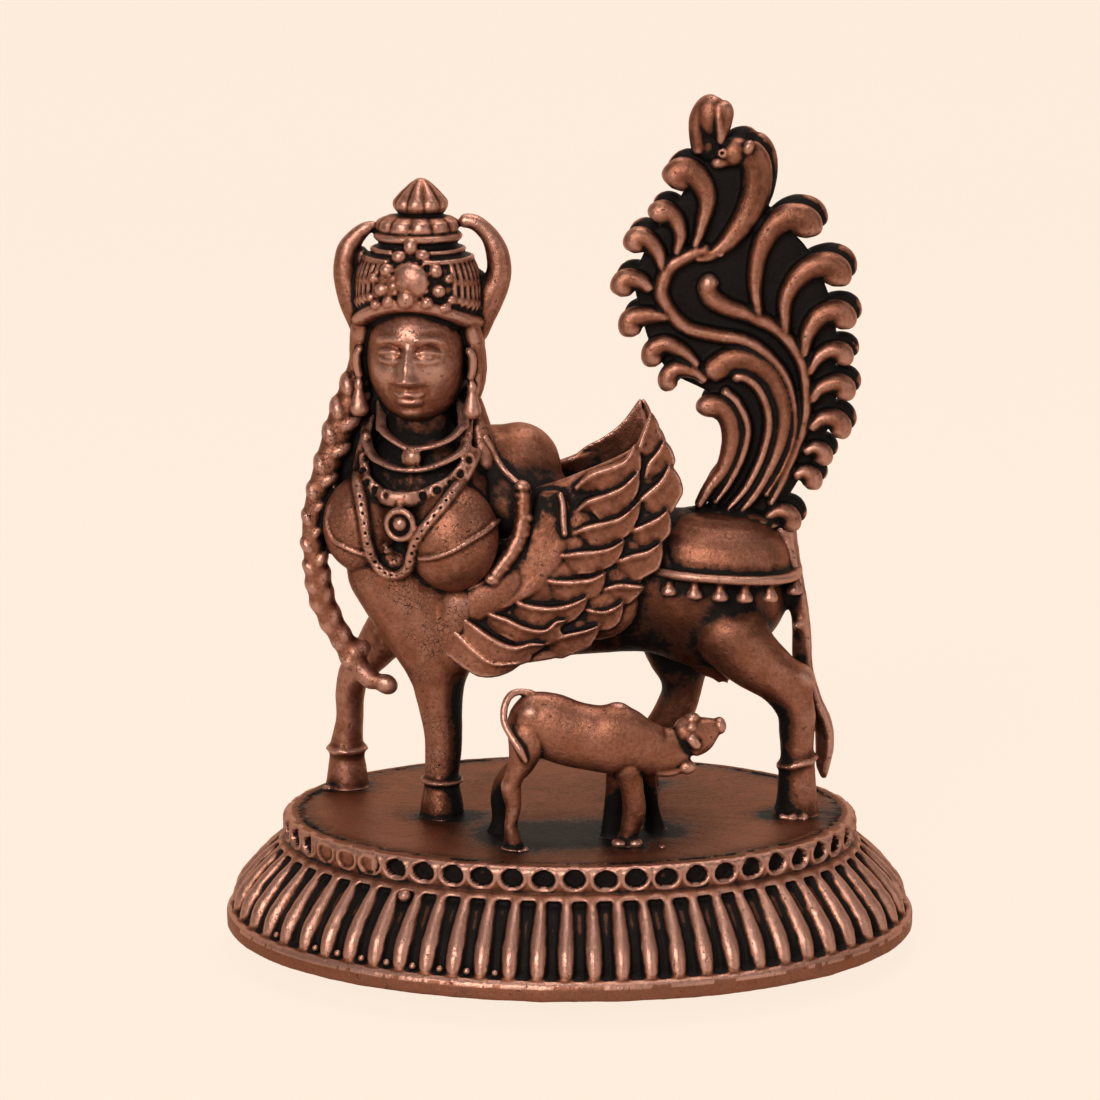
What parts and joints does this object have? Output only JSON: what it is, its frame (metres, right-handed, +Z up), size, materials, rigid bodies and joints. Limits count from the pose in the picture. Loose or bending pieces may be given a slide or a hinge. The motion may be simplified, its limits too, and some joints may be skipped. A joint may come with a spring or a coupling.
{
  "type": "kamdhenu cow statue",
  "caption": "Antique copper statue of a standing cow with a crowned woman's head and chest, feathered wings, scrolled plume tail, tasselled blanket and suckling calf on an oval ribbed plinth.",
  "frame": {"origin": "centre of the plinth's underside", "axes": "+X along the plinth's long axis towards the tail, the cow facing -X; +Y from the viewer's side to the far side; +Z up"},
  "size_m": [0.086, 0.0682, 0.1031],
  "materials": {
    "antique_copper": "antique copper plate, rubbed bright on high places over black patina in the recesses"
  },
  "bodies": {
    "root": {"kamdhenu_statue": "antique_copper"}
  },
  "joints": []
}
